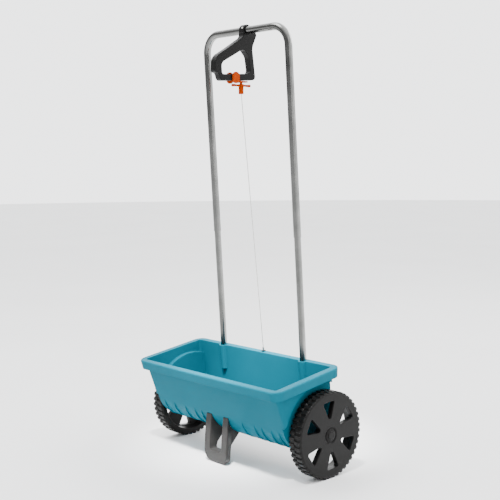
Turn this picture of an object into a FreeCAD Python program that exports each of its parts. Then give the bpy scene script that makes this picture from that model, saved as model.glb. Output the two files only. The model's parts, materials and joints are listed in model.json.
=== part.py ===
"""Drop spreader for lawns, standing parked on its two wheels and its front foot.

Row frame: +X runs along the axle to the right-hand wheel, -Y is the front (the
foot's side), +Y is the rear (the user's side), +Z is up. The origin is on the
ground, under the middle of the whole object's box. Millimetres and degrees.
"""
import FreeCAD, Part
import math
import os
import Sketcher
from FreeCAD import Placement, Rotation, Vector

doc = FreeCAD.newDocument("Spreader")
sheet = doc.addObject("Spreadsheet::Sheet", "Sizes")

SIZES = {
    # where things stand
    "axle_y": 29.03,
    "hopper_pitch": 8.4,
    "handle_lean": 3.475,
    "handle_base_y": 36.8,
    "handle_base_z": 248.0,
    # wheels
    "wheel_radius": 100.0,
    "wheel_width": 34.0,
    "wheel_outer_x": 265.4,
    "lug_depth": 2.4,
    "lug_pitch": 8.0,
    "hub_radius": 14.5,
    "wheel_web": 12.5,
    "spoke_phase": 35.0,
    # axle and agitator
    "axle_radius": 4.0,
    "running_gap": 0.06,
    "agitator_radius": 30.0,
    # hopper shell, in the hopper's own frame about the axle
    "rim_half_length": 253.9,
    "rim_front_y": -139.8,
    "rim_rear_y": 71.8,
    "rim_top_z": 141.0,
    "lip_height": 22.5,
    "lip_corner": 22.0,
    "wall": 3.0,
    "end_half_length": 238.5,
    "end_inset_half": 226.0,
    "arch_radius": 117.0,
    "belly_y": -28.0,
    "belly_z": 50.0,
    "belly_radius": 79.6,
    "front_draft": 11.6,
    "rear_draft": 3.6,
    "trough_radius": 50.0,
    "trough_half_length": 182.0,
    "trough_blend": 29.65,
    "slot_pitch": 15.5,
    "slot_length": 9.0,
    "slot_width": 7.0,
    # tube handle
    "tube_half_spacing": 142.1,
    "lower_tube_radius": 8.0,
    "upper_tube_radius": 9.0,
    "tube_wall": 0.95,
    "tube_joint_height": 292.5,
    "tube_overlap": 45.0,
    "tube_depth": 45.0,
    "bow_height": 775.4,
    "bow_bend": 45.0,
    "socket_top_radius": 12.4,
    "socket_tip_radius": 9.0,
    # foot
    "foot_half_width": 39.5,
    "foot_back_half": 28.0,
    "foot_slot_half": 21.0,
    "foot_slot_z": 31.0,
    # shutter under the trough
    "shutter_gap": 0.3,
    "shutter_thickness": 2.2,
    "shutter_swing": 18.6,
    "shutter_half_length": 178.0,
    "lug_radius": 58.85,
    "lug_angle": -11.63,
    # control wire
    "wire_radius": 0.8,
    "wire_lean": 6.074,
    "wire_lip_y": 42.3,
    "wire_lip_z": 251.5,
    "wire_top": 629.5,
    # dosing lever
    "lever_half_width": 8.5,
}
for row, (alias, size) in enumerate(SIZES.items(), start=1):
    sheet.set(f"A{row}", alias)
    sheet.set(f"B{row}", str(size))
    sheet.setAlias(f"B{row}", alias)
doc.recompute()


# ---------------------------------------------------------------- dimensions

class Dim(float):
    """A number that keeps the sheet expression it was worked out with."""

    def __new__(cls, number, text=None):
        made = float.__new__(cls, number)
        made.text = text or f"{float(number):.9g}"
        return made

    def __add__(self, other):
        return Dim(float(self) + float(other), f"({self.text} + {text_of(other)})")

    def __radd__(self, other):
        return Dim(float(other) + float(self), f"({text_of(other)} + {self.text})")

    def __sub__(self, other):
        return Dim(float(self) - float(other), f"({self.text} - {text_of(other)})")

    def __rsub__(self, other):
        return Dim(float(other) - float(self), f"({text_of(other)} - {self.text})")

    def __mul__(self, other):
        return Dim(float(self) * float(other), f"({self.text} * {text_of(other)})")

    def __rmul__(self, other):
        return Dim(float(other) * float(self), f"({text_of(other)} * {self.text})")

    def __truediv__(self, other):
        return Dim(float(self) / float(other), f"({self.text} / {text_of(other)})")

    def __neg__(self):
        return Dim(-float(self), f"(-{self.text})")


def text_of(number):
    return number.text if isinstance(number, Dim) else Dim(number).text


def cosd(angle):
    return Dim(math.cos(math.radians(angle)), f"cos({text_of(angle)})")


def sind(angle):
    return Dim(math.sin(math.radians(angle)), f"sin({text_of(angle)})")


def tand(angle):
    return Dim(math.tan(math.radians(angle)), f"tan({text_of(angle)})")


def read_sizes():
    return {alias: Dim(float(sheet.get(alias)), f"Sizes.{alias}") for alias in SIZES}


D = read_sizes()


def bind(target, prop, size):
    """Tie one property of an object to the sheet, where its size comes from there."""
    if isinstance(size, Dim) and "Sizes." in size.text:
        target.setExpression(prop, size.text)


# --------------------------------------------------------------- placements

def place(item, base=(0, 0, 0), turn_x=0.0):
    """Set an object's place, tied to the sheet: a base point and a turn about +X."""
    item.Placement = Placement(Vector(*[float(v) for v in base]), Rotation(Vector(1, 0, 0), float(turn_x)))
    for axis, size in zip("xyz", base):
        bind(item, f".Placement.Base.{axis}", size)
    bind(item, ".Placement.Rotation.Angle", turn_x)


def frame(base, turn_x):
    """The same place as a plain placement, for pieces that are turned inside it."""
    return Placement(Vector(*[float(v) for v in base]), Rotation(Vector(1, 0, 0), float(turn_x)))


def place_on_hopper(item):
    place(item, (0, D["axle_y"], D["wheel_radius"]), D["hopper_pitch"])


def place_on_ground(item):
    place(item, (0, D["axle_y"], 0))


def place_on_axle(item):
    place(item, (0, D["axle_y"], D["wheel_radius"]))


def place_on_handle(item, side_x=0.0):
    place(item, (side_x, D["axle_y"] + D["handle_base_y"], D["handle_base_z"]), D["handle_lean"])


CROSSBAR_Y = D["axle_y"] + D["handle_base_y"] - D["bow_height"] * sind(D["handle_lean"])
CROSSBAR_Z = D["handle_base_z"] + D["bow_height"] * cosd(D["handle_lean"])


def place_on_crossbar(item):
    place(item, (0, CROSSBAR_Y, CROSSBAR_Z))


# ------------------------------------------------------------------ sketches

class Arc:
    """An outline's vertex that is reached by an arc, bulging to the left or the right."""

    def __init__(self, u, v, radius, side="left"):
        self.u, self.v, self.radius, self.side = u, v, radius, side


def arc_between(start, end, radius, side):
    """The arc from start to end; its bulge is left or right of the way it is drawn."""
    middle = (start + end) * 0.5
    along = end - start
    half = along.Length / 2
    rise = math.sqrt(max(radius * radius - half * half, 0.0))
    left = Vector(-along.y, along.x, 0).normalize()
    centre = middle - left * rise if side == "left" else middle + left * rise
    first = math.atan2(start.y - centre.y, start.x - centre.x)
    last = math.atan2(end.y - centre.y, end.x - centre.x)
    circle = Part.Circle(centre, Vector(0, 0, 1), radius)
    if side == "left":
        return Part.ArcOfCircle(circle, last, first), 2, 1
    return Part.ArcOfCircle(circle, first, last), 1, 2


def outline(sketch, vertices, closed=True):
    """Draw an outline with every vertex tied to the sheet."""
    points = [Vector(float(v.u), float(v.v), 0) if isinstance(v, Arc) else Vector(float(v[0]), float(v[1]), 0)
              for v in vertices]
    ends = []
    skipped = 0 if closed else 1
    for index, vertex in list(enumerate(vertices))[skipped:]:
        start, end = points[index - 1], points[index]
        if isinstance(vertex, Arc):
            shape, start_end, end_end = arc_between(start, end, float(vertex.radius), vertex.side)
        else:
            shape, start_end, end_end = Part.LineSegment(start, end), 1, 2
        edge = sketch.addGeometry(shape, False)
        ends.append((edge, start_end, end_end))
        if isinstance(vertex, Arc):
            number = sketch.addConstraint(Sketcher.Constraint("Radius", edge, float(vertex.radius)))
            bind(sketch, f"Constraints[{number}]", vertex.radius)
    for index, (edge, _, end_end) in enumerate(ends):
        vertex = vertices[index + skipped]
        if closed or index + 1 < len(ends):
            following, start_end, _ = ends[(index + 1) % len(ends)]
            sketch.addConstraint(Sketcher.Constraint("Coincident", edge, end_end, following, start_end))
        u, v = (vertex.u, vertex.v) if isinstance(vertex, Arc) else vertex
        pin_point(sketch, edge, end_end, u, v)
    if not closed:
        pin_point(sketch, ends[0][0], ends[0][1], *vertices[0])


def pin_point(sketch, edge, end, u, v):
    """Fix one point of a sketch by its two distances from the sketch's origin."""
    for kind, size in (("DistanceX", u), ("DistanceY", v)):
        number = sketch.addConstraint(Sketcher.Constraint(kind, -1, 1, edge, end, float(size)))
        bind(sketch, f"Constraints[{number}]", size)


def ring(sketch, u, v, radius):
    """Draw a full circle."""
    edge = sketch.addGeometry(Part.Circle(Vector(float(u), float(v), 0), Vector(0, 0, 1), float(radius)), False)
    number = sketch.addConstraint(Sketcher.Constraint("Radius", edge, float(radius)))
    bind(sketch, f"Constraints[{number}]", radius)
    pin_point(sketch, edge, 3, u, v)


def new_body(name):
    body = doc.addObject("PartDesign::Body", name)
    body.Label = name
    return body


def sketch_on(body, plane, name, offset=0.0):
    """A sketch on one of the body's own planes, moved along that plane's normal."""
    sketch = body.newObject("Sketcher::SketchObject", name)
    origin_plane = [f for f in body.Origin.OriginFeatures if f.Role == plane][0]
    sketch.AttachmentSupport = [(origin_plane, "")]
    sketch.MapMode = "FlatFace"
    sketch.AttachmentOffset = Placement(Vector(0, 0, float(offset)), Rotation())
    bind(sketch, ".AttachmentOffset.Base.z", offset)
    return sketch


def pad(body, sketch, length, name, backwards=False):
    feature = body.newObject("PartDesign::Pad", name)
    feature.Profile = sketch
    feature.Length = float(length)
    bind(feature, "Length", length)
    feature.Reversed = backwards
    doc.recompute()
    return feature


def pocket(body, sketch, length, name, backwards=False):
    """Cut a sketch into the body, and make sure that it took something away."""
    before = body.Shape.Volume
    feature = body.newObject("PartDesign::Pocket", name)
    feature.Profile = sketch
    feature.Length = float(length)
    bind(feature, "Length", length)
    feature.Reversed = backwards
    doc.recompute()
    if not body.Shape.Volume < before - 1e-3:
        raise RuntimeError(f"{name} cut nothing")
    return feature


def revolve(body, sketch, name, axis="X_Axis"):
    feature = body.newObject("PartDesign::Revolution", name)
    feature.Profile = sketch
    feature.ReferenceAxis = ([f for f in body.Origin.OriginFeatures if f.Role == axis][0], [""])
    feature.Angle = 360
    doc.recompute()
    return feature


def polar(body, features, count, name, axis="X_Axis"):
    pattern = body.newObject("PartDesign::PolarPattern", name)
    pattern.Originals = features
    pattern.Axis = ([f for f in body.Origin.OriginFeatures if f.Role == axis][0], [""])
    pattern.Angle = 360
    pattern.Occurrences = count
    body.Tip = pattern
    doc.recompute()
    return pattern


def edges_where(shape, test):
    return [f"Edge{i}" for i, edge in enumerate(shape.Edges, start=1) if test(edge)]


def round_edges(body, radius, test, name, kind="Fillet"):
    """Round or chamfer the edges of a body's last feature that pass a test."""
    doc.recompute()
    base = body.Tip
    feature = body.newObject(f"PartDesign::{kind}", name)
    feature.Base = (base, edges_where(base.Shape, test))
    prop = "Radius" if kind == "Fillet" else "Size"
    setattr(feature, prop, float(radius))
    bind(feature, prop, radius)
    body.Tip = feature
    doc.recompute()
    return feature


def extruded(name, plane, vertices, start, length, holes=()):
    """A body made of one outline, padded from start along the plane's normal."""
    body = new_body(name)
    sketch = sketch_on(body, plane, f"{name}_outline", start)
    outline(sketch, vertices)
    for hole in holes:
        ring(sketch, *hole)
    pad(body, sketch, length, f"{name}_pad")
    return body


# ---------------------------------------------------------- simple solids

def cylinder_x(name, radius, start, length, y=0.0, z=0.0):
    """A round bar along +X from start."""
    bar = doc.addObject("Part::Cylinder", name)
    bar.Radius = float(radius)
    bar.Height = float(length)
    bar.Placement = Placement(Vector(float(start), float(y), float(z)), Rotation(Vector(0, 1, 0), 90))
    bind(bar, "Radius", radius)
    bind(bar, "Height", length)
    for axis, size in zip("xyz", (start, y, z)):
        bind(bar, f".Placement.Base.{axis}", size)
    return bar


def cylinder_z(name, radius, base, length, turn_x=0.0):
    """A round bar along +Z, or leaning by a turn about +X."""
    bar = doc.addObject("Part::Cylinder", name)
    bar.Radius = float(radius)
    bar.Height = float(length)
    bind(bar, "Radius", radius)
    bind(bar, "Height", length)
    place(bar, base, turn_x)
    return bar


def block(name, low, high):
    """A box between two corners."""
    made = doc.addObject("Part::Box", name)
    for prop, axis, a, b in zip(("Length", "Width", "Height"), "xyz", low, high):
        setattr(made, prop, float(b) - float(a))
        bind(made, prop, b - a)
        bind(made, f".Placement.Base.{axis}", a)
    made.Placement = Placement(Vector(*[float(v) for v in low]), Rotation())
    for axis, a in zip("xyz", low):
        bind(made, f".Placement.Base.{axis}", a)
    return made


def fused(name, pieces):
    made = doc.addObject("Part::MultiFuse", name)
    made.Shapes = pieces
    made.Refine = True
    return made


def cut(name, base, tools):
    """Take the tools away from the base."""
    tool = tools[0] if len(tools) == 1 else fused(f"{name}_tools", tools)
    made = doc.addObject("Part::Cut", name)
    made.Base = base
    made.Tool = tool
    made.Refine = True
    return made


def shared(name, first, second):
    made = doc.addObject("Part::Common", name)
    made.Base = first
    made.Tool = second
    made.Refine = True
    return made


SUBPARTS = []


def subpart(item, label, placer=None):
    """Name a finished sub-part and put it in its place."""
    item.Label = label
    if placer:
        placer(item)
    SUBPARTS.append(item)
    return item


def rounded_rectangle(u_low, u_high, v_low, v_high, radius):
    """Vertices of a rectangle with round corners, counter-clockwise."""
    return [
        (u_low + radius, v_low),
        (u_high - radius, v_low),
        Arc(u_high, v_low + radius, radius, "right"),
        (u_high, v_high - radius),
        Arc(u_high - radius, v_high, radius, "right"),
        (u_low + radius, v_high),
        Arc(u_low, v_high - radius, radius, "right"),
        (u_low, v_low + radius),
        Arc(u_low + radius, v_low, radius, "right"),
    ][1:]


# ------------------------------------------------------------------- hopper

def hopper_section(inset, top):
    """The hopper's U section, seen along the axle: two drafted walls and a round belly."""
    radius = D["belly_radius"] - inset
    front_y = D["belly_y"] - radius * cosd(D["front_draft"])
    front_z = D["belly_z"] - radius * sind(D["front_draft"])
    rear_y = D["belly_y"] + radius * cosd(D["rear_draft"])
    rear_z = D["belly_z"] - radius * sind(D["rear_draft"])
    low_y = D["belly_y"] + 0.0
    low_z = D["belly_z"] - radius
    return [
        (front_y - (top - front_z) * tand(D["front_draft"]), top),
        (front_y, front_z),
        Arc(low_y, low_z, radius, "right"),
        Arc(rear_y, rear_z, radius, "right"),
        (rear_y + (top - rear_z) * tand(D["rear_draft"]), top),
    ]


def trough_section(inset):
    """The metering trough about the axle, blended into the belly in front."""
    belly = D["belly_radius"] - inset
    trough = D["trough_radius"] - inset
    lean = D["trough_blend"]
    rear_angle = 25.0
    return [
        (D["belly_y"] - belly * sind(lean), D["belly_z"] - belly * cosd(lean)),
        (-(trough * sind(lean)), -(trough * cosd(lean))),
        Arc(trough * cosd(rear_angle), trough * sind(rear_angle), trough, "right"),
        (20.0, 40.0),
        (-40.0, 40.0),
    ]


def end_edges(edge, half_length, top):
    """True for the hopper's corner edges, which lie in its end faces."""
    box = edge.BoundBox
    return abs(abs(box.Center.x) - half_length) < 0.01 and box.XLength < 0.01 and box.ZMin < top - 1.0


def make_shell(name, inset, top, corner):
    half = D["end_half_length"] - inset
    shell = extruded(name, "YZ_Plane", hopper_section(inset, top), -half, 2.0 * half)
    round_edges(shell, corner, lambda e: end_edges(e, float(half), float(top)), f"{name}_corners")
    return shell


def lip_slab(name, inset, base_z, length):
    """The rim's outline as a slab that widens a little towards its top."""
    body = new_body(name)
    sketch = sketch_on(body, "XY_Plane", f"{name}_outline", base_z)
    half = D["rim_half_length"] - 3.0 - inset
    low = D["rim_front_y"] + 3.0 + inset
    high = D["rim_rear_y"] - 3.0 - inset
    outline(sketch, rounded_rectangle(-half, half, low, high, D["lip_corner"] - inset))
    feature = pad(body, sketch, length, f"{name}_pad")
    feature.TaperAngle = 7.6
    doc.recompute()
    return body


def make_lip():
    """A turned-down lip round the hopper's mouth, open underneath."""
    base = D["rim_top_z"] - D["lip_height"]
    slab = lip_slab("lip_slab", 0.0, base, D["lip_height"])
    round_edges(slab, 3.0, lambda e: e.BoundBox.ZMin > float(D["rim_top_z"]) - 0.01, "lip_slab_round")
    void = lip_slab("lip_void", 2.6, base - 1.0, D["lip_height"] - 2.0)
    return cut("lip", slab, [void])


def socket(name, side):
    """A tapered socket for one handle tube, moulded into the rear wall."""
    cone = doc.addObject("Part::Cone", name)
    length = 62.0
    cone.Radius1 = float(D["socket_tip_radius"])
    cone.Radius2 = float(D["socket_top_radius"])
    bind(cone, "Radius1", D["socket_tip_radius"])
    bind(cone, "Radius2", D["socket_top_radius"])
    cone.Height = length
    lean = D["handle_lean"] - D["hopper_pitch"]
    base_z = D["rim_top_z"] - 1.0 - length * cosd(lean)
    place(cone, (side * D["tube_half_spacing"], tube_axis_y(base_z), base_z), lean)
    return cone


def tube_axis_y(height):
    """Where the handle tubes' axis is, in the hopper's frame, at a height in that frame."""
    lean = D["handle_lean"] - D["hopper_pitch"]
    start_y = D["handle_base_y"] * cosd(D["hopper_pitch"])
    start_y = start_y + (D["handle_base_z"] - D["wheel_radius"]) * sind(D["hopper_pitch"])
    start_z = (D["handle_base_z"] - D["wheel_radius"]) * cosd(D["hopper_pitch"])
    start_z = start_z - D["handle_base_y"] * sind(D["hopper_pitch"])
    return start_y - (height - start_z) * tand(lean)


def make_rib(name, x):
    """A thin crescent fin that stiffens the belly in front."""
    start = 10.0
    end = 60.0
    radius = D["belly_radius"] - 0.4
    first = (D["belly_y"] - radius * cosd(start), D["belly_z"] - radius * sind(start))
    last = (D["belly_y"] - radius * cosd(end), D["belly_z"] - radius * sind(end))
    vertices = [first, Arc(last[0], last[1], 55.0, "right")]
    vertices[0] = Arc(first[0], first[1], radius, "left")
    return extruded(name, "YZ_Plane", vertices, x - 1.2, 2.4)


RIB_PLACES = [-205.0, -166.0, -123.0, -86.0, -60.0, 86.0, 128.0, 152.0, 184.0, 210.0]


def make_hopper(screw_holes):
    top = D["rim_top_z"]
    inner_half = D["end_inset_half"] - D["wall"]
    outer = make_shell("shell_outer", 0.0, top - 0.5, 10.0)
    inner = make_shell("shell_inner", D["wall"], top + 2.0, 7.0)
    trough_half = D["trough_half_length"]
    trough = extruded("trough_outer", "YZ_Plane", trough_section(0.0), -trough_half, 2.0 * trough_half)
    trough_void_half = trough_half - D["wall"]
    trough_void = extruded("trough_inner", "YZ_Plane", trough_section(D["wall"]), -trough_void_half,
                           2.0 * trough_void_half)
    sockets = [socket("socket_left", -1), socket("socket_right", 1)]
    ribs = [make_rib(f"rib_{number}", x) for number, x in enumerate(RIB_PLACES, start=1)]
    arches, inner_arches, bosses, bores = [], [], [], []
    for side, word in ((-1, "left"), (1, "right")):
        reach = 40.0
        start = D["end_inset_half"] if side > 0 else -D["end_inset_half"] - reach
        arches.append(cylinder_x(f"arch_{word}", D["arch_radius"], start, reach))
        start = inner_half if side > 0 else -inner_half - reach
        inner_arches.append(cylinder_x(f"inner_arch_{word}", D["arch_radius"] + D["wall"], start, reach))
        bosses.append(cylinder_x(f"boss_{word}", 15.0, side * 224.0 - 5.0, 10.0))
        bores.append(cylinder_x(f"boss_bore_{word}", 9.0, side * 225.0 - 12.0, 24.0))
    cavity = fused("cavity", [cut("cavity_shell", inner, inner_arches + sockets), trough_void])
    walls = cut("walls", fused("solid_hopper", [outer, make_lip(), trough] + ribs), arches + [cavity])
    walls = fused("walls_with_sockets", [walls] + [doc.copyObject(piece) for piece in sockets] + bosses)
    for word, side in (("left", -1), ("right", 1)):
        depth = 50.0
        lean = D["handle_lean"] - D["hopper_pitch"]
        base_z = top + 4.0 - depth * cosd(lean)
        base = (side * D["tube_half_spacing"], tube_axis_y(base_z), base_z)
        bores.append(cylinder_z(f"tube_bore_{word}", D["lower_tube_radius"] + 0.05, base, depth, lean))
    bores.append(cylinder_z("guide_bore", 3.0, (0, wire_y(top), top - 10.0), 20.0))
    slots = slot_row("slot", -D["trough_radius"] - 2.0, -D["trough_radius"] + 8.0)
    hopper = cut("hopper_cut", walls, bores + slots + screw_holes)
    subpart(hopper, "hopper", place_on_hopper)
    return outer, trough


def wire_y(height):
    """Where the control wire's line is, in the hopper's frame, at a height in that frame."""
    lip_y = D["wire_lip_y"] * cosd(D["hopper_pitch"])
    lip_y = lip_y + (D["wire_lip_z"] - D["wheel_radius"]) * sind(D["hopper_pitch"])
    lip_z = (D["wire_lip_z"] - D["wheel_radius"]) * cosd(D["hopper_pitch"])
    lip_z = lip_z - D["wire_lip_y"] * sind(D["hopper_pitch"])
    return lip_y + (height - lip_z) * tand(D["hopper_pitch"] - D["wire_lean"])


HOPPER_FRAME = frame((0, D["axle_y"], D["wheel_radius"]), D["hopper_pitch"])
HANDLE_FRAME = frame((0, D["axle_y"] + D["handle_base_y"], D["handle_base_z"]), D["handle_lean"])
CROSSBAR_FRAME = frame((0, CROSSBAR_Y, CROSSBAR_Z), 0.0)


def place_on_wire(item):
    place(item, (0, D["axle_y"] + D["wire_lip_y"], D["wire_lip_z"]), D["wire_lean"])


# ------------------------------------------------------------------- screws

def make_screw(label, host, spot, turn, length, shank_radius=1.6, head_radius=3.4):
    """A pan-head screw whose head stands out along its own +Z; the spot is in the host's frame."""
    body = new_body(label)
    sketch = sketch_on(body, "XZ_Plane", f"{label}_outline")
    outline(sketch, [
        (0.0, -length),
        (shank_radius * 0.4, -length),
        (shank_radius, -length + 1.8),
        (shank_radius, 0.0),
        (head_radius, 0.0),
        (head_radius, 0.9),
        (head_radius - 0.9, 1.9),
        (0.0, 1.9),
    ])
    revolve(body, sketch, f"{label}_turned", "Z_Axis")
    body.Placement = host.multiply(Placement(Vector(*[float(v) for v in spot]), turn))
    doc.recompute()
    return subpart(body, label)


def screw_hole(screw, radius, length, host):
    """A cutter for one screw's hole, in the frame of the piece that it goes into."""
    bar = doc.addObject("Part::Cylinder", f"{screw.Label}_hole")
    bar.Radius = radius
    bar.Height = length
    bar.Placement = host.inverse().multiply(screw.Placement).multiply(Placement(Vector(0, 0, -length), Rotation()))
    return bar


# ------------------------------------------------------------------- handle

def make_lower_tube(word, side):
    """One lower handle tube, held in its socket by a screw from behind."""
    label = f"lower_tube_{word}"
    body = new_body(f"{label}_pipe")
    sketch = sketch_on(body, "XY_Plane", f"{label}_section", -D["tube_depth"])
    ring(sketch, 0.0, 0.0, D["lower_tube_radius"])
    ring(sketch, 0.0, 0.0, D["lower_tube_radius"] - D["tube_wall"])
    pad(body, sketch, D["tube_depth"] + D["tube_joint_height"] + D["tube_overlap"], f"{label}_pad")
    height = 106.0
    spot = (side * D["tube_half_spacing"], tube_axis_y(height) + 11.3, height)
    screw = make_screw(f"tube_screw_{word}", HOPPER_FRAME, spot, Rotation(Vector(1, 0, 0), -90), 5.0)
    side_frame = HANDLE_FRAME.multiply(Placement(Vector(side * float(D["tube_half_spacing"]), 0, 0), Rotation()))
    tube = cut(f"{label}_drilled", body, [screw_hole(screw, 1.6, 6.0, side_frame)])
    subpart(tube, label, lambda item: place_on_handle(item, side * D["tube_half_spacing"]))
    return screw_hole(screw, 1.6, 6.0, HOPPER_FRAME)


def make_upper_bow():
    """The bent upper handle: two legs and a crossbar in one bent tube."""
    body = new_body("upper_bow")
    path = sketch_on(body, "XZ_Plane", "bow_path")
    half, top, bend = D["tube_half_spacing"], D["bow_height"], D["bow_bend"]
    outline(path, [
        (-half, D["tube_joint_height"]),
        (-half, top - bend),
        Arc(-half + bend, top, bend, "left"),
        (half - bend, top),
        Arc(half, top - bend, bend, "left"),
        (half, D["tube_joint_height"]),
    ], closed=False)
    section = sketch_on(body, "XY_Plane", "bow_section", D["tube_joint_height"])
    ring(section, -half, 0.0, D["upper_tube_radius"])
    ring(section, -half, 0.0, D["upper_tube_radius"] - D["tube_wall"])
    doc.recompute()
    pipe = body.newObject("PartDesign::AdditivePipe", "bow_pipe")
    pipe.Profile = section
    pipe.Spine = (path, [f"Edge{i}" for i in range(1, 6)])
    doc.recompute()
    return subpart(body, "upper_bow", place_on_handle)


# --------------------------------------------------------------------- foot

def make_foot(hopper_skin, screws):
    """A forked prop: one bar on the ground and two prongs that meet the belly."""
    half, back_half = D["foot_half_width"], D["foot_back_half"]
    side = extruded("foot_side", "YZ_Plane", [
        (-108.0, 124.0),
        (-115.5, 62.0),
        (-117.5, 26.0),
        (-115.5, 8.0),
        Arc(-108.0, 0.0, 8.5, "right"),
        (-104.0, 0.0),
        Arc(-100.5, 5.0, 5.0, "right"),
        (-95.5, 32.0),
        (-91.5, 44.0),
        (-65.0, 71.0),
        (-60.0, 124.0),
    ], -half, 2.0 * half)
    front = extruded("foot_front", "XZ_Plane", [
        (-half, 124.0),
        (-half, 26.0),
        Arc(-half + 26.0, 0.0, 26.0, "right"),
        (half - 26.0, 0.0),
        Arc(half, 26.0, 26.0, "right"),
        (half, 124.0),
    ], 50.0, 80.0)
    plan = extruded("foot_plan", "XY_Plane", [
        (-half, -120.0),
        (half, -120.0),
        (half, -110.0),
        (back_half, -90.0),
        (back_half, -50.0),
        (-back_half, -50.0),
        (-back_half, -90.0),
        (-half, -110.0),
    ], 0.0, 130.0)
    slot_half = D["foot_slot_half"]
    slot = extruded("foot_slot", "XZ_Plane", rounded_rectangle(-slot_half, slot_half, D["foot_slot_z"],
                                                              Dim(140.0), 5.0), 40.0, 100.0)
    doc.recompute()
    ground = frame((0, D["axle_y"], 0), 0.0)
    place(hopper_skin, (0, 0, D["wheel_radius"]), D["hopper_pitch"])
    holes = [screw_hole(screw, 1.6, 15.0, ground) for screw in screws]
    blank = shared("foot_solid", shared("foot_blank", side, front), plan)
    subpart(cut("foot_fork", blank, [slot, hopper_skin] + holes), "foot", place_on_ground)


def make_foot_screws():
    """Two screws from inside the hopper, one into each prong."""
    turn = Rotation(Vector(1, 0, 0), -57)
    return [make_screw(f"foot_screw_{word}", HOPPER_FRAME, (side * 30.0, -92.04, 8.47), turn, 15.0)
            for word, side in (("left", -1), ("right", 1))]


# ------------------------------------------------------------------- wheels

def around_axle(angle, along, across):
    """A point in the wheel's plane: along a direction from the hub, and across it."""
    return (along * cosd(angle) - across * sind(angle), along * sind(angle) + across * cosd(angle))


def make_wheel(label, side, cross_holes):
    """A wheel with six broad spokes, six openings and two staggered rows of tread lugs."""
    outer, inner = D["wheel_outer_x"], D["wheel_outer_x"] - D["wheel_width"]
    rolling = D["wheel_radius"] - D["lug_depth"]
    hub = D["hub_radius"]
    web = D["wheel_web"]
    bore = D["axle_radius"] + D["running_gap"]
    body = new_body(f"{label}_moulding")
    profile = sketch_on(body, "XZ_Plane", f"{label}_profile")
    outline(profile, [
        (inner, bore),
        (outer - 6.0, bore),
        (outer - 6.0, 8.0),
        (outer + 1.0, 8.0),
        (outer + 1.0, hub - 2.5),
        (outer - 0.8, hub),
        (outer - 2.6, hub + 0.6),
        (outer - 2.6, hub + 2.6),
        (outer, hub + 5.0),
        (outer, rolling - 4.0),
        Arc(outer - 3.5, rolling, 4.0, "right"),
        (inner + 3.5, rolling),
        Arc(inner, rolling - 4.0, 4.0, "right"),
        (inner, 84.0),
        (outer - web, 80.0),
        (outer - web, 18.0),
        (inner, 17.0),
    ])
    revolve(body, profile, f"{label}_disc")
    opening = sketch_on(body, "YZ_Plane", f"{label}_opening_outline", outer + 2.0)
    angle = D["spoke_phase"]
    outline(opening, [
        Arc(*around_axle(angle, 41.0, -4.6), 5.0, "right"),
        around_axle(angle, 73.5, -17.6),
        Arc(*around_axle(angle, 78.0, -13.6), 4.6, "right"),
        around_axle(angle, 78.0, 13.6),
        Arc(*around_axle(angle, 73.5, 17.6), 4.6, "right"),
        around_axle(angle, 41.0, 4.6),
    ])
    hole = pocket(body, opening, 40.0, f"{label}_opening")
    polar(body, [hole], 6, f"{label}_openings")
    pitch = D["lug_pitch"]
    for row, (x, turn) in enumerate(((inner + 1.2, 0.0), (inner + 17.6, pitch / 2.0)), start=1):
        lug = sketch_on(body, "YZ_Plane", f"{label}_lug_outline_{row}", x)
        outline(lug, [
            around_axle(turn, rolling - 1.0, -4.6),
            around_axle(turn, D["wheel_radius"], -3.6),
            around_axle(turn, D["wheel_radius"], 3.6),
            around_axle(turn, rolling - 1.0, 4.6),
        ])
        polar(body, [pad(body, lug, 15.0, f"{label}_lug_{row}")], 45, f"{label}_lugs_{row}")
    wheel = cut(f"{label}_drilled", body, cross_holes) if cross_holes else body
    subpart(wheel, label, lambda item: place_wheel(item, side))


def place_wheel(item, side):
    """On the axle, with the left-hand pieces turned to face outward."""
    item.Placement = Placement(Vector(0, float(D["axle_y"]), float(D["wheel_radius"])),
                               Rotation(Vector(0, 0, 1), 0 if side > 0 else 180))
    bind(item, ".Placement.Base.y", D["axle_y"])
    bind(item, ".Placement.Base.z", D["wheel_radius"])


def make_hub_cap(label, side):
    """A pressed-in cap over the axle's end."""
    outer = D["wheel_outer_x"]
    body = new_body(label)
    profile = sketch_on(body, "XZ_Plane", f"{label}_profile")
    outline(profile, [
        (outer - 1.0, 0.0),
        (outer + 2.6, 0.0),
        (outer + 2.6, 8.5),
        Arc(outer + 1.1, 10.5, 2.6, "right"),
        (outer + 1.0, 10.5),
        (outer + 1.0, 7.9),
        (outer - 1.0, 7.9),
    ])
    revolve(body, profile, f"{label}_turned")
    subpart(body, label, lambda item: place_wheel(item, side))


def make_collar(label, start, length, outer_radius, inner_radius):
    """A plain ring about the axle, such as a washer or a push nut."""
    tube = cylinder_x(f"{label}_outside", outer_radius, start, length)
    hole = cylinder_x(f"{label}_hole", inner_radius, start - 1.0, length + 2.0)
    subpart(cut(f"{label}_ring", tube, [hole]), label, place_on_axle)


def make_bearing(label, side):
    """A flanged bush that carries the axle in the hopper's end wall."""
    bore = D["axle_radius"] + D["running_gap"]
    barrel_low = side * 224.0 - 5.4
    flange_low = side * 218.0 - 1.0
    barrel = cylinder_x(f"{label}_barrel", 9.0, barrel_low, 10.8)
    flange = cylinder_x(f"{label}_flange", 12.5, flange_low, 2.0)
    hole = cylinder_x(f"{label}_hole", bore, side * 224.0 - 12.0, 24.0)
    subpart(cut(f"{label}_bush", fused(f"{label}_solid", [barrel, flange]), [hole]), label, place_on_axle)


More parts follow.
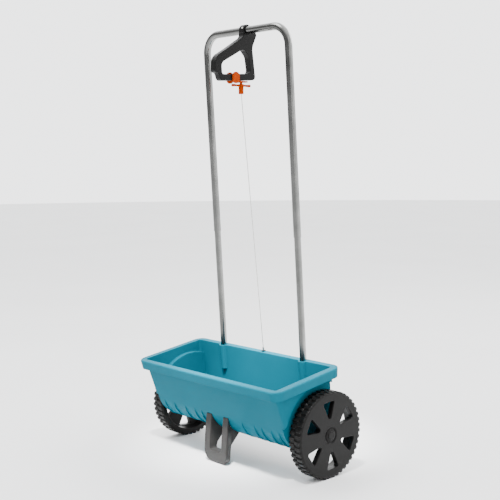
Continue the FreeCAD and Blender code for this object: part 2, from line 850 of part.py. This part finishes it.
def make_agitator():
    """A sleeve on the axle with a spiral of stubby stirring blades."""
    half = D["trough_half_length"] - 10.0
    reach = float(D["agitator_radius"])
    sleeve = cylinder_x("agitator_sleeve", 7.0, -half, 2.0 * half)
    blades = []
    for number in range(12):
        middle = -154.0 + 28.0 * number
        blade = block(f"blade_{number}", (middle - 6.0, -1.6, -reach), (middle + 6.0, 1.6, reach))
        turn = Placement(Vector(0, 0, 0), Rotation(Vector(1, 0, 0), 50.0 * number))
        blade.Placement = turn.multiply(blade.Placement)
        blades.append(blade)
    hole = cylinder_x("agitator_hole", D["axle_radius"] + 0.0, -half - 1.0, 2.0 * half + 2.0)
    subpart(cut("agitator_cut", fused("agitator_solid", [sleeve] + blades), [hole]), "agitator", place_on_axle)


def make_axle():
    """The axle, its cross pin, and the nuts and washers that keep the wheels on it."""
    half = 264.0
    pin_x, pin_radius, pin_reach = 238.0, 1.5, 18.6
    bar = cylinder_x("axle_bar", D["axle_radius"], -half, 2.0 * half)
    pin_hole = cylinder_z("pin_hole", pin_radius, (pin_x, 0, -20.0), 40.0)
    subpart(cut("axle_drilled", bar, [pin_hole]), "axle", place_on_axle)
    pin = cylinder_z("drive_pin", pin_radius, (pin_x, 0, D["wheel_radius"] - pin_reach), 2.0 * pin_reach)
    bind(pin, ".Placement.Base.y", D["axle_y"])
    subpart(pin, "drive_pin")
    for word, side in (("left", -1), ("right", 1)):
        make_collar(f"axle_nut_{word}", side * 261.4 - 1.4, 2.8, 7.4, D["axle_radius"] + 0.0)
        make_collar(f"axle_washer_{word}", side * 230.35 - 0.7, 1.4, 10.0, D["axle_radius"] + 0.0)
    make_wheel("right_wheel", 1, [pin_hole])
    make_wheel("left_wheel", -1, [])
    make_hub_cap("right_hub_cap", 1)
    make_hub_cap("left_hub_cap", -1)


# ------------------------------------------------------- shutter and its drive

def on_circle(radius, angle):
    return (radius * cosd(angle), radius * sind(angle))


def arc_plate(name, inner, outer, first, last, start, length):
    """A curved plate about the axle, between two angles, along +X from start."""
    middle = (first + last) / 2.0
    return extruded(name, "YZ_Plane", [
        on_circle(outer, first),
        Arc(*on_circle(outer, middle), outer, "right"),
        Arc(*on_circle(outer, last), outer, "right"),
        on_circle(inner, last),
        Arc(*on_circle(inner, middle), inner, "left"),
        Arc(*on_circle(inner, first), inner, "left"),
    ], start, length)


def place_on_shutter(item):
    """The shutter's own frame is its open position; it rests turned back by its swing."""
    place(item, (0, D["axle_y"], D["wheel_radius"]), D["hopper_pitch"] - D["shutter_swing"])


def make_shutter():
    """A curved plate under the trough, with a row of dosing slots and a pull lug behind."""
    inner = D["trough_radius"] + D["shutter_gap"]
    outer = inner + D["shutter_thickness"]
    half = D["shutter_half_length"]
    plate = arc_plate("shutter_plate", inner, outer, Dim(-99.4), Dim(14.6), -half, 2.0 * half)
    cuts = [block("shutter_notch", (11.0, -60.0, -60.0), (20.0, -6.6, -30.0))]
    cuts += slot_row("shutter_slot", -outer - 1.0, -inner + 3.0)
    angle = D["lug_angle"] + D["shutter_swing"]
    y, z = on_circle(D["lug_radius"], angle)
    tip = D["lug_radius"] + 2.6
    cheek = [on_circle(inner + 1.0, angle - 7.0), on_circle(tip, angle - 3.4),
             on_circle(tip, angle + 3.4), on_circle(inner + 1.0, angle + 6.0)]
    cheeks = [extruded(f"lug_cheek_{word}", "YZ_Plane", cheek, x, 2.4)
              for word, x in (("left", -4.8), ("right", 2.4))]
    bar_radius = 1.6
    solid = fused("shutter_solid", [plate] + cheeks)
    cuts.append(cylinder_x("lug_pin_hole", bar_radius, -6.0, 12.0, y, z))
    subpart(cut("shutter_whole", solid, cuts), "shutter", place_on_shutter)
    pin_y, pin_z = on_circle(D["lug_radius"], D["lug_angle"] + D["hopper_pitch"])
    pin = cylinder_x("lug_pin_bar", bar_radius, -5.4, 10.8, D["axle_y"] + pin_y, D["wheel_radius"] + pin_z)
    subpart(pin, "shutter_pin")


def slot_row(name, low_z, high_z):
    """Cutters for the two rows of dosing slots, either side of the middle."""
    cutters = []
    for side in (-1, 1):
        for number in range(9):
            middle = side * (40.0 + number * D["slot_pitch"])
            low = (middle - D["slot_length"] / 2.0, -D["slot_width"] / 2.0, low_z)
            high = (middle + D["slot_length"] / 2.0, D["slot_width"] / 2.0, high_z)
            cutters.append(block(name, low, high))
    return cutters


def make_rails():
    """A grooved rail at each end of the trough, in which the shutter turns."""
    inner = D["trough_radius"] + D["shutter_gap"] + D["shutter_thickness"] + 0.3
    outer = inner + 2.8
    half = D["trough_half_length"]
    disc_width = 2.2
    first, last = Dim(-126.0), Dim(-16.0)
    hopper_holes = []
    for word, side in (("left", -1), ("right", 1)):
        label = f"shutter_rail_{word}"
        band = arc_plate(f"{label}_band", inner, outer, first, last, side * (half - 1.9) - 4.1, 8.2)
        disc_start = half + 0.0 if side > 0 else -half - disc_width
        disc = arc_plate(f"{label}_disc", Dim(42.0), inner + 0.1, first, last, disc_start, disc_width)
        rail_holes = []
        for number, angle in enumerate((-112.0, -48.0), start=1):
            y, z = on_circle(46.0, angle)
            spot = (side * (half + disc_width), y, z)
            screw = make_screw(f"rail_screw_{word}_{number}", HOPPER_FRAME, spot,
                               Rotation(Vector(0, 1, 0), 90 * side), 6.0, 1.3, 2.8)
            hopper_holes.append(screw_hole(screw, 1.3, 7.0, HOPPER_FRAME))
            rail_holes.append(hopper_holes[-1])
        rail = cut(f"{label}_drilled", fused(f"{label}_solid", [band, disc]), rail_holes)
        subpart(rail, label, place_on_hopper)
    return hopper_holes


# -------------------------------------------------------------- control wire

def along_wire(height):
    """The length along the wire, from the lip, at a height in the hopper's frame."""
    lip_z = (D["wire_lip_z"] - D["wheel_radius"]) * cosd(D["hopper_pitch"])
    lip_z = lip_z - D["wire_lip_y"] * sind(D["hopper_pitch"])
    return (height - lip_z) / cosd(D["hopper_pitch"] - D["wire_lean"])


def tube_on_wire(label, outer_radius, inner_radius, low, high):
    outside = cylinder_z(f"{label}_outside", outer_radius, (0, 0, low), high - low)
    inside = cylinder_z(f"{label}_inside", inner_radius, (0, 0, low - 1.0), high - low + 2.0)
    return cut(f"{label}_tube", outside, [inside])


def make_wires():
    """The wire in two lengths that slide in a ferrule, with its eye, ball, stop and spring."""
    eye_radius = 3.4
    eye_s = along_wire(D["lug_radius"] * sind(D["lug_angle"]))
    seat_s = along_wire(D["rim_top_z"] - 6.0)
    stop_s, stop_length = -70.0, 4.0
    lower_end, upper_start = 2.85, 6.0
    low = eye_s + eye_radius
    lower = cylinder_z("wire_lower_bar", D["wire_radius"], (0, 0, low), lower_end - low)
    eye = doc.addObject("Part::Torus", "wire_eye")
    eye.Radius1 = eye_radius
    eye.Radius2 = float(D["wire_radius"])
    bind(eye, "Radius2", D["wire_radius"])
    eye.Placement = Placement(Vector(0, 0, float(eye_s)), Rotation(Vector(0, 1, 0), 90))
    bind(eye, ".Placement.Base.z", eye_s)
    subpart(fused("wire_lower_solid", [lower, eye]), "wire_lower", place_on_wire)
    ball = doc.addObject("Part::Sphere", "wire_ball")
    ball.Radius = 2.0
    place(ball, (0, 0, D["wire_top"]))
    upper = cylinder_z("wire_upper_bar", D["wire_radius"], (0, 0, upper_start), D["wire_top"] - upper_start)
    ferrule = cylinder_z("ferrule_outside", 2.3, (0, 0, -0.8), 8.2)
    socket_hole = cylinder_z("ferrule_inside", 1.75, (0, 0, -1.8), upper_start + 1.8)
    whole = fused("wire_upper_solid", [upper, ball, cut("ferrule", ferrule, [socket_hole])])
    subpart(whole, "wire_upper", place_on_wire)
    stop = tube_on_wire("wire_stop", 3.4, D["wire_radius"] + 0.0, stop_s, stop_s + stop_length)
    subpart(stop, "wire_stop", place_on_wire)
    spring = tube_on_wire("spring", 3.1, 2.1, stop_s + stop_length + 0.1, seat_s - 0.2)
    subpart(spring, "return_spring", place_on_wire)


def make_guide():
    """A flanged eyelet in the rear lip, which the wire runs through."""
    y = wire_y(D["rim_top_z"])
    top = D["rim_top_z"]
    barrel = cylinder_z("guide_barrel", 3.0, (0, y, top - 6.0), 7.0)
    flange = cylinder_z("guide_flange", 5.5, (0, y, top + 0.0), 1.5)
    hole = cylinder_z("guide_hole", 1.7, (0, y, top - 8.0), 12.0)
    subpart(cut("guide_ring", fused("guide_solid", [barrel, flange]), [hole]), "wire_guide", place_on_hopper)


# -------------------------------------------------------------- dosing lever

LEVER_OUTLINE = [
    Arc(-9.55, 9.55, 13.5, "right"),
    Arc(-13.5, 0.0, 13.5, "right"),
    (-13.5, -9.0),
    Arc(-22.0, -21.5, 14.0, "left"),
    (-61.0, -45.0),
    (-86.0, -59.0),
    Arc(-100.5, -80.0, 25.0, "right"),
    (-101.5, -97.0),
    Arc(-97.0, -102.5, 6.0, "right"),
    (-91.5, -104.0),
    (-89.0, -108.0),
    (-86.5, -115.0),
    Arc(-78.5, -120.5, 9.0, "right"),
    (-40.0, -118.5),
    (17.0, -115.5),
    Arc(24.5, -107.0, 8.5, "right"),
    (21.2, -80.0),
    (16.6, -45.0),
    Arc(22.0, -27.0, 40.0, "left"),
    (29.0, -12.5),
    Arc(26.0, -3.5, 7.0, "right"),
    (20.0, -3.5),
    (10.49, 8.5),
    Arc(5.0, 12.54, 13.5, "right"),
]

LEVER_WINDOW = [
    (0.0, -101.0),
    Arc(8.8, -91.5, 9.0, "right"),
    (4.8, -66.0),
    Arc(-4.0, -53.0, 22.0, "right"),
    Arc(-18.0, -46.5, 12.0, "right"),
    (-58.0, -67.5),
    (-72.0, -74.5),
    Arc(-80.8, -88.0, 15.0, "right"),
    (-80.0, -100.0),
    Arc(-74.8, -105.5, 5.5, "right"),
]


def make_lever():
    """A D-shaped hand lever that hangs on the crossbar, closed over it by a front clip."""
    half = D["lever_half_width"]
    blank = extruded("lever_blank", "YZ_Plane", LEVER_OUTLINE, -half, 2.0 * half)
    round_edges(blank, 2.0, lambda e: e.BoundBox.XLength < 0.01, "lever_round")
    start, length = -half - 2.0, 2.0 * half + 4.0
    window = extruded("lever_window", "YZ_Plane", LEVER_WINDOW, start, length)
    bore = cylinder_x("lever_bore", D["upper_tube_radius"] + D["running_gap"], start, length)
    clip_zone = block("clip_zone", (-14.0, -16.0, -6.0), (14.0, -3.0, 14.0))
    turn = Rotation(Vector(1, 0, 0), 70.5)
    rivet = make_screw("clip_rivet", CROSSBAR_FRAME, (4.8, -12.73, 4.5), turn, 3.0, 1.4, 2.4)
    holes = [bore, screw_hole(rivet, 1.4, 3.0, CROSSBAR_FRAME)]
    clip = cut("clip_cut", shared("clip_solid", blank, clip_zone), holes)
    subpart(clip, "lever_clip", place_on_crossbar)
    subpart(cut("lever_cut", blank, [window, bore, clip_zone]), "dosing_lever", place_on_crossbar)


# ------------------------------------------------------------- wire adjuster

def make_adjuster():
    """A saddle under the lever, a winged nut on its stud, and the barrel that holds the wire."""
    pivot_y = -14.2
    wide = 10.9
    plate = block("saddle_plate", (-wide, -46.0, -121.8), (wide, -3.0, -118.7))
    lobes = [oval(f"saddle_lobe_{word}", x) for word, x in (("left", -12.8), ("right", 8.8))]
    stud = cylinder_z("saddle_stud", 3.2, (0, pivot_y, -132.2), 12.0)
    subpart(fused("saddle_solid", [plate, stud] + lobes), "adjuster_saddle", place_on_crossbar)
    nut_low, nut_high = -131.8, -125.6
    hub = cylinder_z("nut_hub", 6.6, (0, pivot_y, nut_low), nut_high - nut_low)
    wings = extruded("nut_wings", "YZ_Plane", wing_outline(pivot_y, (nut_low + nut_high) / 2.0), -2.6, 5.2)
    nut_hole = cylinder_z("nut_hole", 3.27, (0, pivot_y, nut_low - 1.0), nut_high - nut_low + 2.0)
    subpart(cut("nut_cut", fused("nut_solid", [hub, wings]), [nut_hole]), "adjuster_nut", place_on_crossbar)
    pocket_bar = cylinder_z("barrel_pocket", 2.4, (0, pivot_y, -147.2), 5.4)
    keyhole = block("barrel_keyhole", (-1.4, pivot_y - 7.0, -150.0), (1.4, pivot_y + 7.0, -144.5))
    bar = cylinder_z("barrel_bar", 5.9, (0, pivot_y, -148.6), 16.4)
    subpart(cut("barrel_cut", bar, [pocket_bar, keyhole]), "adjuster_barrel", place_on_crossbar)


def wing_outline(middle, height):
    """Two wings that widen to round tips, seen from the side of the nut."""
    reach, tip, waist = 28.5, 3.1, 2.3
    return [
        (middle, height - waist),
        (middle + reach - 10.0, height - waist),
        (middle + reach - tip, height - tip),
        Arc(middle + reach, height, tip, "right"),
        Arc(middle + reach - tip, height + tip, tip, "right"),
        (middle + reach - 10.0, height + waist),
        (middle - reach + 10.0, height + waist),
        (middle - reach + tip, height + tip),
        Arc(middle - reach, height, tip, "right"),
        Arc(middle - reach + tip, height - tip, tip, "right"),
        (middle - reach + 10.0, height - waist),
    ]


def oval(name, start):
    """One upright oval cheek of the saddle, its long axis up and down."""
    low_y, high_y, low_z, high_z = -49.4, -29.6, -125.0, -98.5
    radius = (high_y - low_y) / 2.0
    middle = (low_y + high_y) / 2.0
    return extruded(name, "YZ_Plane", [
        (low_y, low_z + radius),
        Arc(middle, low_z, radius, "right"),
        Arc(high_y, low_z + radius, radius, "right"),
        (high_y, high_z - radius),
        Arc(middle, high_z, radius, "right"),
        Arc(low_y, high_z - radius, radius, "right"),
    ], start, 4.0)


# ------------------------------------------------------------ whole spreader

hopper_holes = make_rails()
hopper_holes += [make_lower_tube("left", -1), make_lower_tube("right", 1)]
foot_screws = make_foot_screws()
hopper_holes += [screw_hole(screw, 1.6, 15.0, HOPPER_FRAME) for screw in foot_screws]
belly, trough = make_hopper(hopper_holes)
make_foot(fused("hopper_skin", [belly, trough]), foot_screws)
make_bearing("bearing_left", -1)
make_bearing("bearing_right", 1)
make_axle()
make_agitator()
make_shutter()
make_guide()
make_wires()
make_upper_bow()
make_lever()
make_adjuster()
doc.recompute()

# every object must have worked, and every sub-part must be one sound solid
for item in doc.Objects:
    if "Invalid" in item.State or "Error" in item.State:
        raise RuntimeError(f"{item.Name} did not work: {item.State}")
for item in SUBPARTS:
    if item.Shape.isNull() or not item.Shape.isValid() or len(item.Shape.Solids) != 1:
        raise RuntimeError(f"{item.Label} has no sound shape")

os.makedirs("parts", exist_ok=True)
for item in SUBPARTS:
    item.Shape.exportStep(f"parts/{item.Label}.step")
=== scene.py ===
"""The looks of a garden drop spreader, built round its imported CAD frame.

Metres throughout. +X runs along the axle to the right-hand wheel, -Y is the front.
"""

import json
import math

import bmesh
import bpy
from mathutils import Matrix, Vector


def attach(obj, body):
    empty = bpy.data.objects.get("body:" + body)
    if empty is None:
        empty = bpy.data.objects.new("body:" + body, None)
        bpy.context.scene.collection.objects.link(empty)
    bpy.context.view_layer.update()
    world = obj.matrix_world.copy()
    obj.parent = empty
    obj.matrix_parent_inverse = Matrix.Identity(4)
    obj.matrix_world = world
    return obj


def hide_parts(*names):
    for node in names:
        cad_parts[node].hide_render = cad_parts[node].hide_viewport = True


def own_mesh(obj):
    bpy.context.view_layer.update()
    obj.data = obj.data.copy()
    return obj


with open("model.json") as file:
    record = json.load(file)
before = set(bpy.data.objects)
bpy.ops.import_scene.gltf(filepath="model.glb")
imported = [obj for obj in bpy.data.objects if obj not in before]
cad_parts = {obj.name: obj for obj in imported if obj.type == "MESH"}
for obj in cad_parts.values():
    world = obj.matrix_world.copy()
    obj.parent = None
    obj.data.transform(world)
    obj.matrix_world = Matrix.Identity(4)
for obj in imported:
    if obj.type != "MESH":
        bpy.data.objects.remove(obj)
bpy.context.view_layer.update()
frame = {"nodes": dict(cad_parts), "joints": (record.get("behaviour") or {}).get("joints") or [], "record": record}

JOINTS = {joint["name"]: joint for joint in frame["joints"]}
AXLE = Vector(JOINTS["drive_spin"]["pos_m"])
WIRE_LEAN = math.radians(6.074)
FLOOR_RADIUS = 14.0


def put_in_scene(name, data):
    made = bpy.data.objects.new(name, data)
    bpy.context.scene.collection.objects.link(made)
    return made


# ---------------------------------------------------------------- materials

def new_material(name):
    made = bpy.data.materials.new(name)
    made.use_nodes = True
    return made, made.node_tree, made.node_tree.nodes["Principled BSDF"]


def noise(tree, where, scale, detail=4.0, rough=0.55):
    node = tree.nodes.new("ShaderNodeTexNoise")
    node.inputs["Scale"].default_value = scale
    node.inputs["Detail"].default_value = detail
    node.inputs["Roughness"].default_value = rough
    tree.links.new(where, node.inputs["Vector"])
    return node.outputs["Fac"]


def ramp(tree, value, stops):
    node = tree.nodes.new("ShaderNodeValToRGB")
    elements = node.color_ramp.elements
    for element, (place, color) in zip(elements, stops):
        element.position, element.color = place, color
    for place, color in stops[2:]:
        elements.new(place).color = color
    tree.links.new(value, node.inputs["Fac"])
    return node.outputs["Color"]


def grey(level):
    return (level, level, level, 1.0)


def mix(tree, factor, first, second, blend="MIX"):
    node = tree.nodes.new("ShaderNodeMix")
    node.data_type = "RGBA"
    node.blend_type = blend
    for word, value in (("Factor", factor), ("A", first), ("B", second)):
        socket = node.inputs[word]
        if isinstance(value, bpy.types.NodeSocket):
            tree.links.new(value, socket)
        else:
            socket.default_value = value
    return node.outputs["Result"]


def along_way(tree, where, direction):
    """How far a unit direction turns towards a fixed one: 1 along it, -1 against it."""
    node = tree.nodes.new("ShaderNodeVectorMath")
    node.operation = "DOT_PRODUCT"
    node.inputs[1].default_value = direction
    tree.links.new(where, node.inputs[0])
    return node.outputs["Value"]


def stretched(tree, scale):
    """Object coordinates, scaled per axis."""
    where = tree.nodes.new("ShaderNodeTexCoord").outputs["Object"]
    node = tree.nodes.new("ShaderNodeMapping")
    node.inputs["Scale"].default_value = scale
    tree.links.new(where, node.inputs["Vector"])
    return node.outputs["Vector"]


def bump(tree, shader, height, strength, distance, before=None):
    node = tree.nodes.new("ShaderNodeBump")
    node.inputs["Strength"].default_value = strength
    node.inputs["Distance"].default_value = distance
    tree.links.new(height, node.inputs["Height"])
    if before:
        tree.links.new(before, node.inputs["Normal"])
    tree.links.new(node.outputs["Normal"], shader.inputs["Normal"])
    return node.outputs["Normal"]


def moulded(name, color, rough, shine, grain=1.0, flow=0.10, worn=0.25, soft=0.0012):
    """Injection-moulded plastic: fine spark grain, faint flow clouds, scuffed edges and marks."""
    made, tree, shader = new_material(name)
    cloud_scale, scuff_scale, grain_scale, wave_scale = 9.0, 60.0, 1500.0, 14.0
    where = stretched(tree, (1, 1, 1))
    clouds = noise(tree, where, cloud_scale, 3.0)
    dark = tuple(c * (1.0 - flow) for c in color) + (1.0,)
    light = tuple(min(1.0, c * (1.0 + flow)) for c in color) + (1.0,)
    base = ramp(tree, clouds, [(0.3, dark), (0.7, light)])
    geometry = tree.nodes.new("ShaderNodeNewGeometry")
    scuffs = noise(tree, where, scuff_scale, 6.0, 0.7)
    edge = ramp(tree, geometry.outputs["Pointiness"], [(0.52, grey(0.0)), (0.62, grey(1.0))])
    marks = ramp(tree, scuffs, [(0.42, grey(0.0)), (0.62, grey(1.0))])
    wear = mix(tree, 1.0, edge, marks, "MULTIPLY")
    pale = tuple(min(1.0, c * 1.6 + 0.006) for c in color) + (1.0,)
    strength = mix(tree, 1.0, wear, grey(worn), "MULTIPLY")
    base = mix(tree, strength, base, pale)
    tree.links.new(base, shader.inputs["Base Color"])
    streaks = noise(tree, stretched(tree, (22, 22, 140)), 1.0, 5.0, 0.6)
    gloss = ramp(tree, streaks, [(0.3, grey(rough - 0.05)), (0.75, grey(rough + 0.09))])
    tree.links.new(gloss, shader.inputs["Roughness"])
    shader.inputs["Specular IOR Level"].default_value = shine
    edge_round = tree.nodes.new("ShaderNodeBevel")
    edge_round.samples = 6
    edge_round.inputs["Radius"].default_value = soft
    rounded = edge_round.outputs["Normal"]
    first = bump(tree, shader, noise(tree, where, grain_scale, 2.0), 0.10 * grain, 0.0004, rounded)
    bump(tree, shader, noise(tree, where, wave_scale, 2.0), 0.12, 0.0022, first)
    return made


def zinc_tube(name):
    """Bright zinc-plated tube with drawing lines, faint spangle, dull patches and painted shade on its
    front-facing side that stands in for a darker reflection.
    """
    made, tree, shader = new_material(name)
    shader.inputs["Metallic"].default_value = 1.0
    where = stretched(tree, (1, 1, 1))
    lines = noise(tree, stretched(tree, (500, 500, 8)), 1.0, 4.0, 0.6)
    patches = noise(tree, where, 26.0, 5.0, 0.6)
    tint = ramp(tree, patches, [(0.3, (0.24, 0.242, 0.235, 1)), (0.7, (0.36, 0.36, 0.35, 1))])
    fine = ramp(tree, lines, [(0.35, grey(0.90)), (0.65, grey(1.0))])
    # Painted shade: the base colour darkens where the surface faces front (-Y), standing in for the dark
    # reflection the tubes show on that side.
    normal = tree.nodes.new("ShaderNodeNewGeometry").outputs["Normal"]
    frontward = along_way(tree, normal, (0.25, -0.97, 0.0))
    painted_front_shade = ramp(tree, frontward, [(0.35, grey(1.0)), (0.92, grey(0.42))])
    plated = mix(tree, 1.0, tint, fine, "MULTIPLY")
    tree.links.new(mix(tree, 1.0, plated, painted_front_shade, "MULTIPLY"), shader.inputs["Base Color"])
    gloss = ramp(tree, patches, [(0.25, grey(0.15)), (0.75, grey(0.24))])
    tree.links.new(gloss, shader.inputs["Roughness"])
    first = bump(tree, shader, lines, 0.02, 0.0002)
    bump(tree, shader, noise(tree, where, 300.0, 3.0), 0.02, 0.0002, first)
    return made


def bare_steel(name, color, rough):
    """Small plated steel: fine brushing and slight tarnish."""
    made, tree, shader = new_material(name)
    shader.inputs["Metallic"].default_value = 1.0
    where = stretched(tree, (1, 1, 1))
    tarnish = noise(tree, where, 180.0, 4.0, 0.6)
    low = tuple(c * 0.7 for c in color) + (1.0,)
    tone = ramp(tree, tarnish, [(0.35, low), (0.65, tuple(color) + (1.0,))])
    tree.links.new(tone, shader.inputs["Base Color"])
    gloss = ramp(tree, tarnish, [(0.3, grey(rough)), (0.7, grey(rough + 0.12))])
    tree.links.new(gloss, shader.inputs["Roughness"])
    bump(tree, shader, noise(tree, stretched(tree, (2600, 400, 2600)), 1.0, 2.0), 0.12, 0.0002)
    return made


TEAL = moulded("hopper_plastic", (0.0022, 0.112, 0.160), 0.42, 0.03,
               grain=1.0, flow=0.05, worn=0.15, soft=0.0022)
GREY = moulded("grey_plastic", (0.034, 0.033, 0.032), 0.46, 0.14,
               grain=1.4, flow=0.08, worn=0.2, soft=0.0030)
DARK = moulded("dark_plastic", (0.0052, 0.0050, 0.0048), 0.36, 0.13,
               grain=1.2, flow=0.06, worn=0.15, soft=0.0026)
BLACK = moulded("black_plastic", (0.0016, 0.0016, 0.0016), 0.40, 0.06, grain=1.4, flow=0.12, worn=0.3)
ORANGE = moulded("orange_plastic", (0.31, 0.034, 0.0001), 0.36, 0.02, grain=0.6, flow=0.06, worn=0.3)
ZINC = zinc_tube("zinc_tube")
STEEL = bare_steel("steel_hardware", (0.62, 0.61, 0.58), 0.26)
LOOKS = {"hopper_plastic": TEAL, "grey_plastic": GREY, "dark_plastic": DARK, "black_plastic": BLACK,
         "orange_plastic": ORANGE, "zinc_tube": ZINC, "steel_hardware": STEEL}

for entry in frame["record"]["subparts"]:
    node = frame["nodes"][entry["node"]]
    node.data.materials.clear()
    node.data.materials.append(LOOKS[entry["material_slot"]])


# ----------------------------------------------------------------- coil spring

def make_coil():
    """The wire coil that stands for the return spring's sleeve, wound at an even pitch along its length."""
    sleeve = frame["nodes"]["return_spring"]
    along = Vector((0.0, -math.sin(WIRE_LEAN), math.cos(WIRE_LEAN)))
    side = Vector((1.0, 0.0, 0.0))
    other = along.cross(side)
    corners = [sleeve.matrix_world @ vertex.co for vertex in sleeve.data.vertices]
    heights = [corner.dot(along) for corner in corners]
    low, high = min(heights), max(heights)
    middle = sum(corners, Vector()) / len(corners)
    base = middle + along * (low - middle.dot(along))
    radius, wire, pitch = 0.00258, 0.00046, 0.0022
    steps, ring = 20, 8
    climb = high - low - 2.0 * wire
    turns = climb / pitch
    mesh = bpy.data.meshes.new("spring_coil")
    form = bmesh.new()
    rings = []
    count = int(turns * steps)
    for index in range(count + 1):
        part = index / count
        turn = 2.0 * math.pi * turns * part
        outward = side * math.cos(turn) + other * math.sin(turn)
        centre = base + along * (wire + climb * part) + outward * radius
        section = []
        for place in range(ring):
            around = 2.0 * math.pi * place / ring
            rim = outward * math.cos(around) + along * math.sin(around)
            section.append(form.verts.new(centre + rim * wire))
        rings.append(section)
    for first, second in zip(rings, rings[1:]):
        for place in range(ring):
            after = (place + 1) % ring
            form.faces.new((first[place], first[after], second[after], second[place]))
    form.faces.new(list(reversed(rings[0])))
    form.faces.new(rings[-1])
    bmesh.ops.recalc_face_normals(form, faces=form.faces)
    for face in form.faces:
        face.smooth = True
    form.to_mesh(mesh)
    form.free()
    mesh.materials.append(STEEL)
    coil = put_in_scene("spring_coil", mesh)
    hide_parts("return_spring")
    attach(coil, "hopper_frame")
    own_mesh(coil)


# ------------------------------------------------------------- floor and light

def make_floor():
    """A wide pale disc, faintly uneven in tone."""
    mesh = bpy.data.meshes.new("floor")
    form = bmesh.new()
    bmesh.ops.create_circle(form, cap_ends=True, radius=FLOOR_RADIUS, segments=96)
    form.to_mesh(mesh)
    form.free()
    floor = put_in_scene("floor", mesh)
    made, tree, shader = new_material("pale_floor")
    where = stretched(tree, (1, 1, 1))
    tone = ramp(tree, noise(tree, where, 1.5, 3.0), [(0.3, grey(0.90)), (0.7, grey(0.93))])
    tree.links.new(tone, shader.inputs["Base Color"])
    shader.inputs["Roughness"].default_value = 0.75
    mesh.materials.append(made)


def aimed(name, data, place, aim):
    light = put_in_scene(name, data)
    light.location = place
    light.rotation_mode = "QUATERNION"
    light.rotation_quaternion = (Vector(aim) - Vector(place)).to_track_quat("-Z", "Y")


def soft_light(name, place, aim, size, power):
    """A rectangular soft box, in watts."""
    data = bpy.data.lights.new(name, "AREA")
    data.shape = "RECTANGLE"
    data.size, data.size_y = size
    data.energy = power
    aimed(name, data, place, aim)


def hopper_spot(place, aim, power, spread):
    """A soft-edged spot from high in front that reaches into the hopper's mouth."""
    data = bpy.data.lights.new("hopper_spot", "SPOT")
    data.energy = power
    data.spot_size = math.radians(spread)
    data.spot_blend = 0.6
    data.shadow_soft_size = 0.16
    aimed("hopper_spot", data, place, aim)


def lobe(tree, where, direction, start, full, strength):
    """World brightness that grows as a direction turns towards one way."""
    grown = tree.nodes.new("ShaderNodeMapRange")
    grown.interpolation_type = "SMOOTHSTEP"
    for word, value in (("From Min", start), ("From Max", full), ("To Min", 0.0), ("To Max", strength)):
        grown.inputs[word].default_value = value
    tree.links.new(along_way(tree, where, direction), grown.inputs["Value"])
    return grown.outputs["Result"]


def make_world(level, lobes):
    """A soft studio: a dim surround with a bright rear wall, side panel and ceiling."""
    world = bpy.data.worlds.new("studio")
    world.use_nodes = True
    bpy.context.scene.world = world
    tree = world.node_tree
    where = tree.nodes.new("ShaderNodeTexCoord").outputs["Generated"]
    dim = tree.nodes.new("ShaderNodeValue")
    dim.outputs["Value"].default_value = level
    total = dim.outputs["Value"]
    for direction, start, full, strength in lobes:
        both = tree.nodes.new("ShaderNodeMath")
        tree.links.new(lobe(tree, where, direction, start, full, strength), both.inputs[0])
        tree.links.new(total, both.inputs[1])
        total = both.outputs["Value"]
    background = tree.nodes["Background"]
    background.inputs["Color"].default_value = (0.98, 0.99, 1.0, 1.0)
    tree.links.new(total, background.inputs["Strength"])


# Each glow: its direction, the cosines at which it starts and is full, and its strength.
REAR_WALL = ((-0.70, 0.71, 0.0), 0.50, 0.82, 2.7)
SIDE_PANEL = ((0.79, 0.61, 0.0), 0.74, 0.94, 1.6)
CEILING = ((0.0, 0.0, 1.0), 0.25, 0.95, 2.4)

make_coil()
make_floor()
make_world(0.60, (REAR_WALL, SIDE_PANEL, CEILING))
soft_light("key", (-0.9, -1.0, 3.0), (0, 0, 0.25), (1.4, 1.4), 70.0)
soft_light("fill", (2.9, -1.0, 1.5), (0, 0, 0.35), (1.2, 2.4), 16.0)
soft_light("rim", (0.6, 2.6, 2.2), (0, 0, 0.5), (1.5, 1.5), 50.0)
hopper_spot((0.62, -0.86, 2.35), (0.0, 0.01, 0.21), 1500.0, 12.0)


# --------------------------------------------------------------------- camera

def make_camera():
    azimuth, elevation, roll = math.radians(47.627), math.radians(5.46), math.radians(-0.46)
    distance, lens, sensor = 2.339, 69.81, 36.0
    target = Vector((-0.0001, AXLE.y, 0.5022))
    back = Vector((math.sin(azimuth) * math.cos(elevation), -math.cos(azimuth) * math.cos(elevation),
                   math.sin(elevation)))
    right = Vector((math.cos(azimuth), math.sin(azimuth), 0))
    up = back.cross(right)
    across = right * math.cos(roll) + up * math.sin(roll)
    upward = up * math.cos(roll) - right * math.sin(roll)
    data = bpy.data.cameras.new("camera")
    data.lens, data.sensor_width = lens, sensor
    camera = put_in_scene("camera", data)
    turn = Matrix((across, upward, back)).transposed().to_4x4()
    camera.matrix_world = Matrix.Translation(target + back * distance) @ turn
    bpy.context.scene.camera = camera


make_camera()
